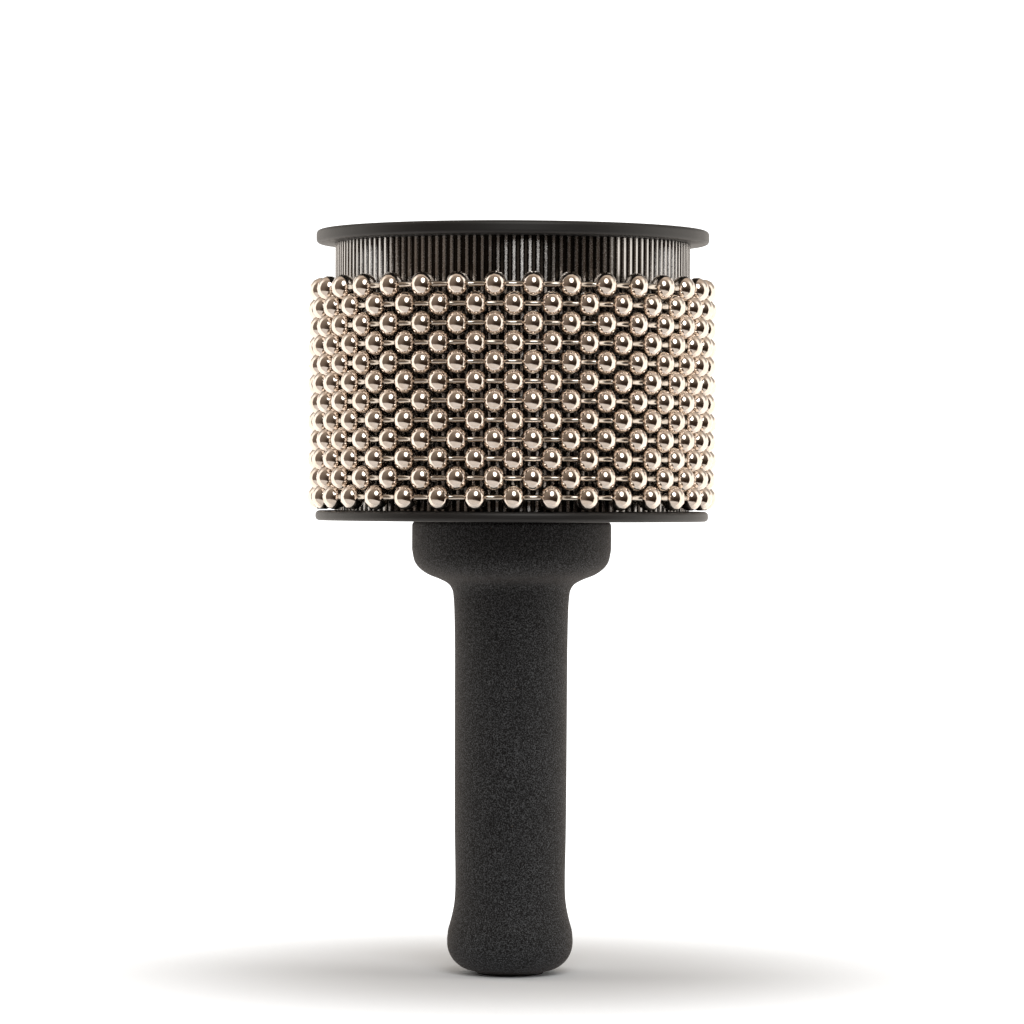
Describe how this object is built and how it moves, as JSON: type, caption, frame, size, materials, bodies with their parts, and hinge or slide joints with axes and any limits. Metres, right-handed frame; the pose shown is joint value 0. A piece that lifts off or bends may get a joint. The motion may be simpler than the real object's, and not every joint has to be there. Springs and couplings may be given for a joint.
{
  "type": "cabasa",
  "caption": "Hand-held metal cabasa: fluted steel drum between black discs, wrapped in loops of steel bead chain, on a straight foam-covered handle.",
  "frame": {"origin": "on the handle's axis, in the middle of the grip's straight part, where the hand holds it", "axes": "+Z along the handle towards the head; -Y is the side that the picture's camera faces; the sleeve's butt joint is at +Y"},
  "size_m": [0.1226, 0.1228, 0.2231],
  "materials": {
    "foam": "matte",
    "tube_steel": "satin",
    "plug_plastic": "satin",
    "black_plastic": "matte",
    "flange_plastic": "satin",
    "cap_plastic": "satin",
    "zinc_steel": "satin",
    "sleeve_steel": "polished",
    "bead_nickel": "polished",
    "link_nickel": "polished"
  },
  "bodies": {
    "handle_and_drum": {"foam_grip": "foam", "handle_tube": "tube_steel", "end_plug": "plug_plastic", "handle_socket": "black_plastic", "threaded_insert": "zinc_steel", "lower_flange": "flange_plastic", "socket_screws": "zinc_steel", "lower_flange_screws": "zinc_steel", "drum_core": "black_plastic", "fluted_sleeve": "sleeve_steel", "upper_flange": "flange_plastic", "upper_flange_screws": "zinc_steel", "tie_bolt": "zinc_steel", "flat_washer": "zinc_steel", "spring_washer": "zinc_steel", "top_cap": "cap_plastic"},
    "loop_01": {"bead_loop_01": "bead_nickel", "link_loop_01": "link_nickel"},
    "loop_02": {"bead_loop_02": "bead_nickel", "link_loop_02": "link_nickel"},
    "loop_03": {"bead_loop_03": "bead_nickel", "link_loop_03": "link_nickel"},
    "loop_04": {"bead_loop_04": "bead_nickel", "link_loop_04": "link_nickel"},
    "loop_05": {"bead_loop_05": "bead_nickel", "link_loop_05": "link_nickel"},
    "loop_06": {"bead_loop_06": "bead_nickel", "link_loop_06": "link_nickel"},
    "loop_07": {"bead_loop_07": "bead_nickel", "link_loop_07": "link_nickel"},
    "loop_08": {"bead_loop_08": "bead_nickel", "link_loop_08": "link_nickel"},
    "loop_09": {"bead_loop_09": "bead_nickel", "link_loop_09": "link_nickel"},
    "loop_10": {"bead_loop_10": "bead_nickel", "link_loop_10": "link_nickel"},
    "loop_11": {"bead_loop_11": "bead_nickel", "link_loop_11": "link_nickel"},
    "loop_12": {"bead_loop_12": "bead_nickel", "link_loop_12": "link_nickel"}
  },
  "joints": [
    {"name": "chain_spin", "type": "hinge", "parent": "handle_and_drum", "child": "loop_01", "pos_m": [0, 0, 0.075], "axis": [0, 0, 1], "continuous": true},
    {"name": "loop_02_lift", "type": "slide", "parent": "loop_01", "child": "loop_02", "axis": [0, 0, 1], "range_m": [0, 0.0009]},
    {"name": "loop_03_lift", "type": "slide", "parent": "loop_02", "child": "loop_03", "axis": [0, 0, 1], "range_m": [0, 0.0009]},
    {"name": "loop_04_lift", "type": "slide", "parent": "loop_03", "child": "loop_04", "axis": [0, 0, 1], "range_m": [0, 0.0009]},
    {"name": "loop_05_lift", "type": "slide", "parent": "loop_04", "child": "loop_05", "axis": [0, 0, 1], "range_m": [0, 0.0009]},
    {"name": "loop_06_lift", "type": "slide", "parent": "loop_05", "child": "loop_06", "axis": [0, 0, 1], "range_m": [0, 0.0009]},
    {"name": "loop_07_lift", "type": "slide", "parent": "loop_06", "child": "loop_07", "axis": [0, 0, 1], "range_m": [0, 0.0009]},
    {"name": "loop_08_lift", "type": "slide", "parent": "loop_07", "child": "loop_08", "axis": [0, 0, 1], "range_m": [0, 0.0009]},
    {"name": "loop_09_lift", "type": "slide", "parent": "loop_08", "child": "loop_09", "axis": [0, 0, 1], "range_m": [0, 0.0009]},
    {"name": "loop_10_lift", "type": "slide", "parent": "loop_09", "child": "loop_10", "axis": [0, 0, 1], "range_m": [0, 0.0009]},
    {"name": "loop_11_lift", "type": "slide", "parent": "loop_10", "child": "loop_11", "axis": [0, 0, 1], "range_m": [0, 0.0009]},
    {"name": "loop_12_lift", "type": "slide", "parent": "loop_11", "child": "loop_12", "axis": [0, 0, 1], "range_m": [0, 0.0009]}
  ]
}
